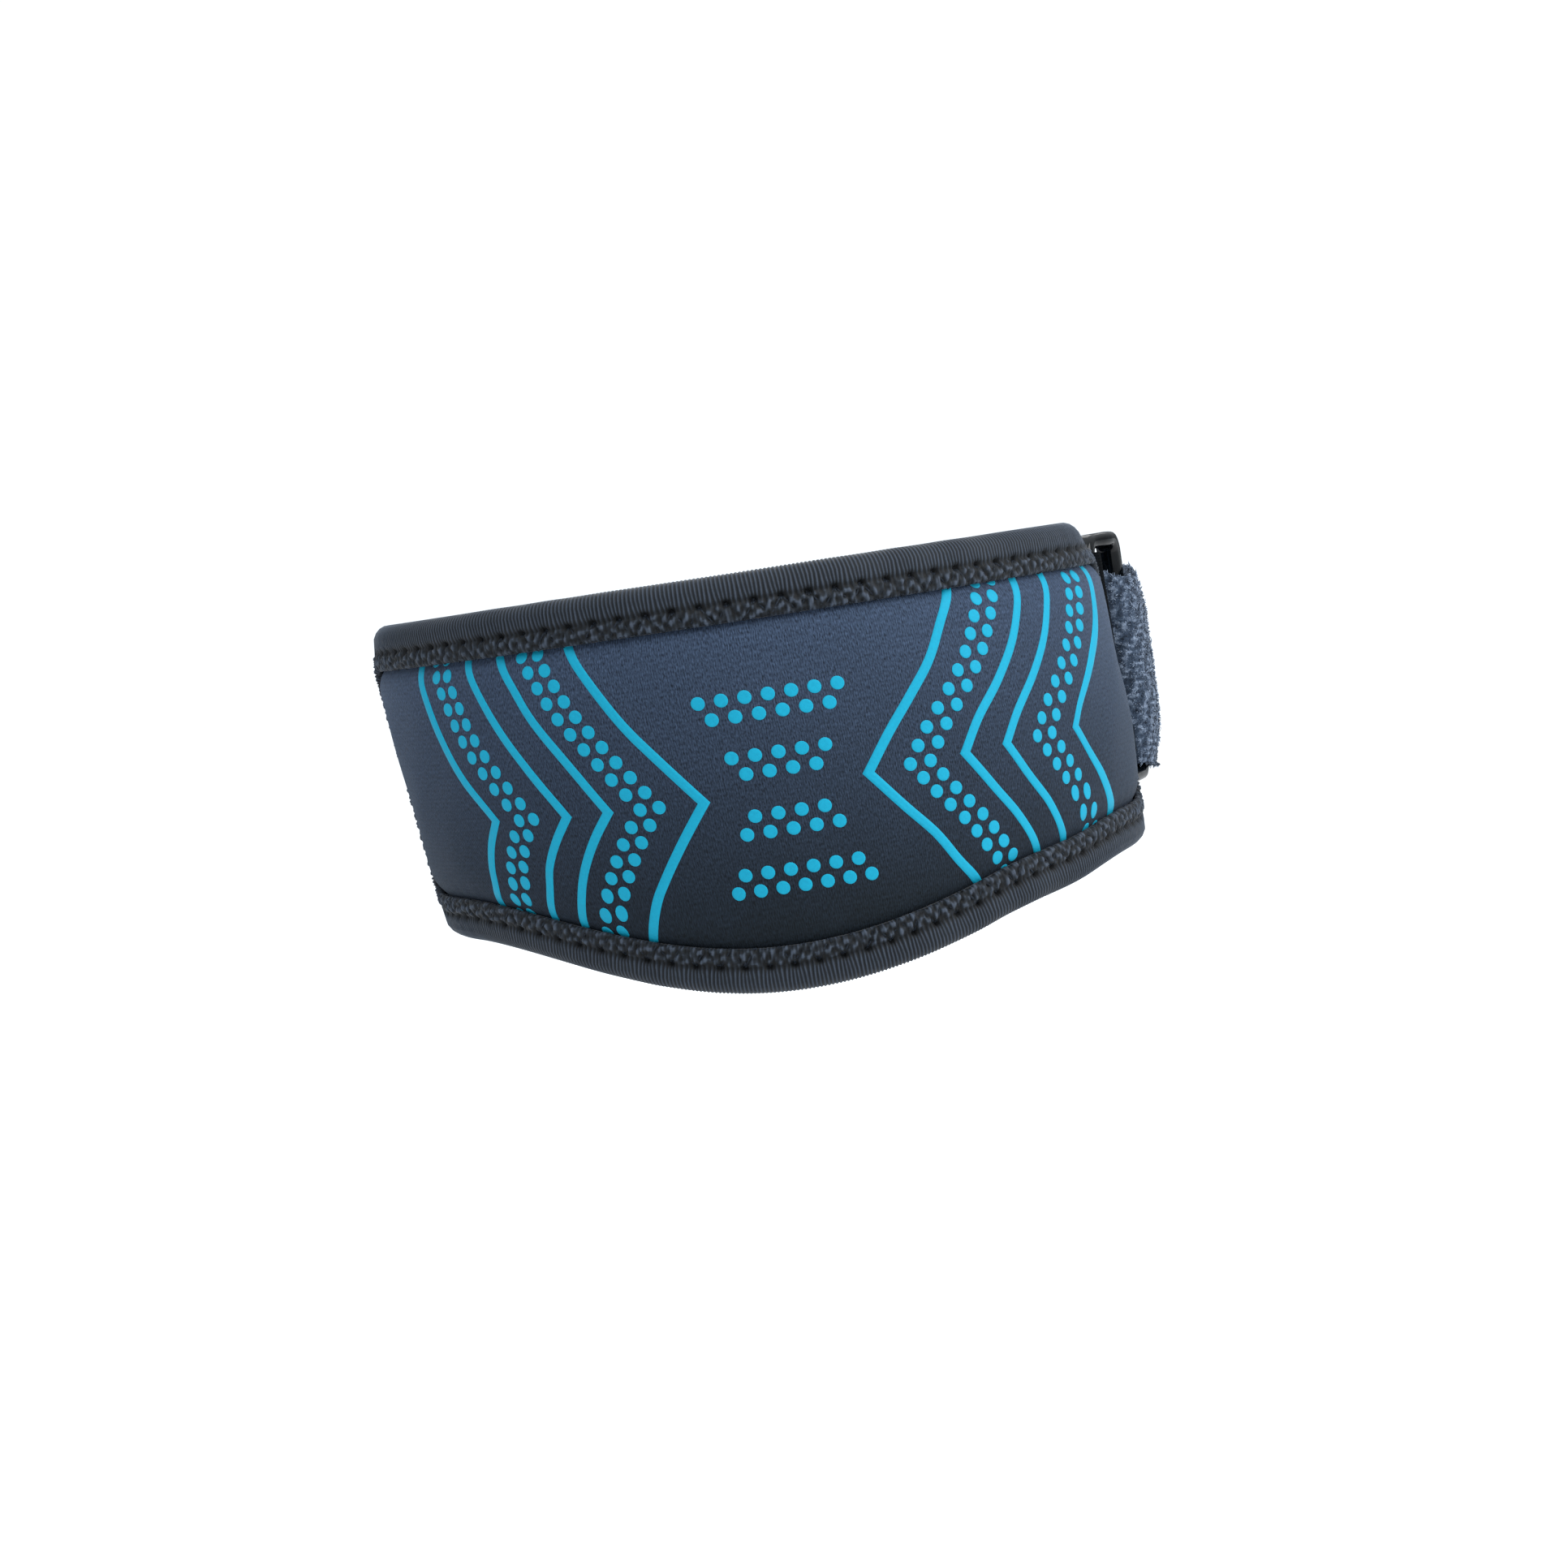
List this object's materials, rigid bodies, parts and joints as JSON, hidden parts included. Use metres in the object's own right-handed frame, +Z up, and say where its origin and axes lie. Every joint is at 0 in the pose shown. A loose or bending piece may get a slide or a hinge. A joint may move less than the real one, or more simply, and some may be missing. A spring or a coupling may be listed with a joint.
{
  "type": "patella strap",
  "caption": "Padded strap worn below the kneecap: a crowned front panel with a bound edge, closed round the leg by a soft strap that folds back through a plastic ring.",
  "frame": {"origin": "on the axis of the leg that the strap is closed round, half way up the front of the panel", "axes": "+Z up along the leg, -Y out of the front of the panel, +X to the right of someone who looks at the front, where the ring is"},
  "size_m": [0.1288, 0.1289, 0.061],
  "materials": {
    "front_panel": "heathered charcoal knit over foam rubber, with cyan printed lines and dots",
    "edge_binding": "ribbed black tape with a stitched inner edge",
    "strap_ring": "smooth glossy black",
    "ring_tab": "plain woven black tape",
    "pull_strap": "brushed grey-blue loop plush",
    "hook_tab": "plain black hook tape"
  },
  "bodies": {
    "root": {"front_panel": "front_panel", "edge_binding": "edge_binding", "strap_ring": "strap_ring", "ring_tab": "ring_tab", "pull_strap": "pull_strap", "hook_tab": "hook_tab"}
  },
  "joints": []
}
